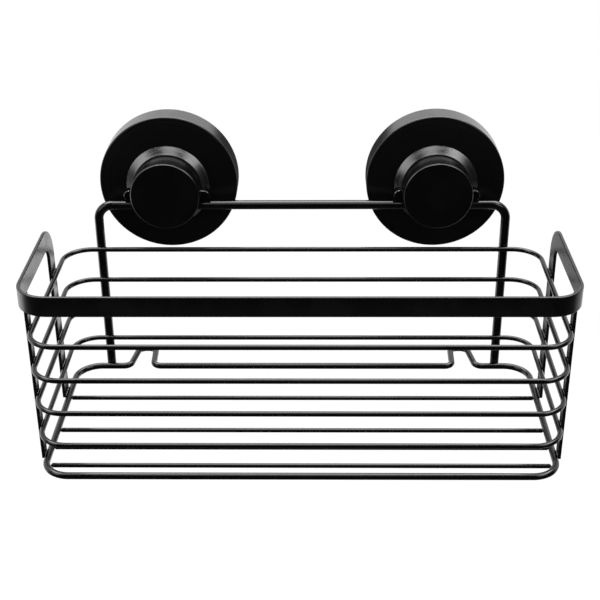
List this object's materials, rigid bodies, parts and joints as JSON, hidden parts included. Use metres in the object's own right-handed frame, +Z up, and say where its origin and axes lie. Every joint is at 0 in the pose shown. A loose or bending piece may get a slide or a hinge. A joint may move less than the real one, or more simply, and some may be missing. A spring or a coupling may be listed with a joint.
{
  "type": "shower caddy",
  "caption": "Black wire shower basket with a flat rim strip and a hanger frame carried by twist-to-lock suction cups, for hanging on a smooth wall.",
  "frame": {"origin": "in the wall plane, midway between the two suction cups' axes", "axes": "+X across to the right as seen from the front, +Y towards the wall, +Z up"},
  "size_m": [0.3014, 0.1593, 0.1671],
  "materials": {
    "black_coat": "semi-gloss black powder coat over steel",
    "black_metal": "black anodised, lathe-brushed",
    "black_plastic": "satin black",
    "grey_nylon": "glass-filled nylon",
    "dark_rubber": "smooth soft rubber",
    "brass": "turned"
  },
  "bodies": {
    "basket": {"rim_band": "black_coat", "front_leg_left": "black_coat", "front_leg_right": "black_coat", "ring_wire_1": "black_coat", "ring_wire_2": "black_coat", "ring_wire_3": "black_coat", "ring_wire_4": "black_coat", "base_wire": "black_coat", "floor_wire_1": "black_coat", "floor_wire_2": "black_coat", "floor_wire_3": "black_coat", "floor_wire_4": "black_coat", "floor_wire_5": "black_coat", "hanger_frame": "black_coat"},
    "left_cup": {"left_suction_pad": "dark_rubber", "left_support_cup": "black_plastic", "left_cover_disc": "black_metal", "left_cone_collar": "black_metal", "left_hook_plate": "black_plastic"},
    "left_knob": {"left_knob_shell": "black_plastic", "left_knob_insert": "brass"},
    "left_stud": {"left_pull_stud": "grey_nylon"},
    "right_cup": {"right_suction_pad": "dark_rubber", "right_support_cup": "black_plastic", "right_cover_disc": "black_metal", "right_cone_collar": "black_metal", "right_hook_plate": "black_plastic"},
    "right_knob": {"right_knob_shell": "black_plastic", "right_knob_insert": "brass"},
    "right_stud": {"right_pull_stud": "grey_nylon"}
  },
  "joints": [
    {"name": "left_cup_slide", "type": "slide", "parent": "basket", "child": "left_cup", "axis": [-1, 0, 0], "range_m": [-0.0395, 0.016]},
    {"name": "left_knob_turn", "type": "hinge", "parent": "left_cup", "child": "left_knob", "pos_m": [-0.0828, -0.0349, 0], "axis": [0, 1, 0], "range_deg": [0, 720]},
    {"name": "left_stud_pull", "type": "slide", "parent": "left_cup", "child": "left_stud", "axis": [0, -1, 0], "range_m": [0, 0.004]},
    {"name": "right_cup_slide", "type": "slide", "parent": "basket", "child": "right_cup", "axis": [1, 0, 0], "range_m": [-0.0395, 0.016]},
    {"name": "right_knob_turn", "type": "hinge", "parent": "right_cup", "child": "right_knob", "pos_m": [0.0828, -0.0349, 0], "axis": [0, 1, 0], "range_deg": [0, 720]},
    {"name": "right_stud_pull", "type": "slide", "parent": "right_cup", "child": "right_stud", "axis": [0, -1, 0], "range_m": [0, 0.004]}
  ],
  "couplings": [
    {"joint": "left_stud_pull", "follows": "left_knob_turn", "m_per_rad": 0.0003183},
    {"joint": "right_stud_pull", "follows": "right_knob_turn", "m_per_rad": 0.0003183}
  ]
}
